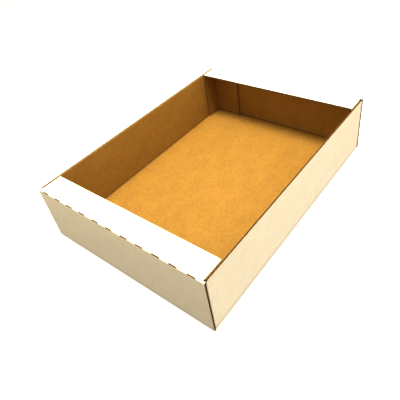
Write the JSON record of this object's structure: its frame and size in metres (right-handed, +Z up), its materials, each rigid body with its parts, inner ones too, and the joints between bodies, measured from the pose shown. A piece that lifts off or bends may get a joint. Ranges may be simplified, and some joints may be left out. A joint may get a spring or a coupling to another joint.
{
  "type": "pastry box",
  "caption": "Open tray-style pastry box folded from one sheet of corrugated board, with a perforated ledge along the top of each end wall.",
  "frame": {"origin": "middle of the base's underside, on the surface that the box stands on", "axes": "+X across the box towards a long side wall, +Y along the box towards an end wall with its ledge, +Z up"},
  "size_m": [0.334, 0.46, 0.1035],
  "materials": {
    "white_lined_board": "matte; bleached white liner outside, brown kraft liner inside, raw brown edges"
  },
  "bodies": {
    "root": {"folded_tray": "white_lined_board"}
  },
  "joints": []
}
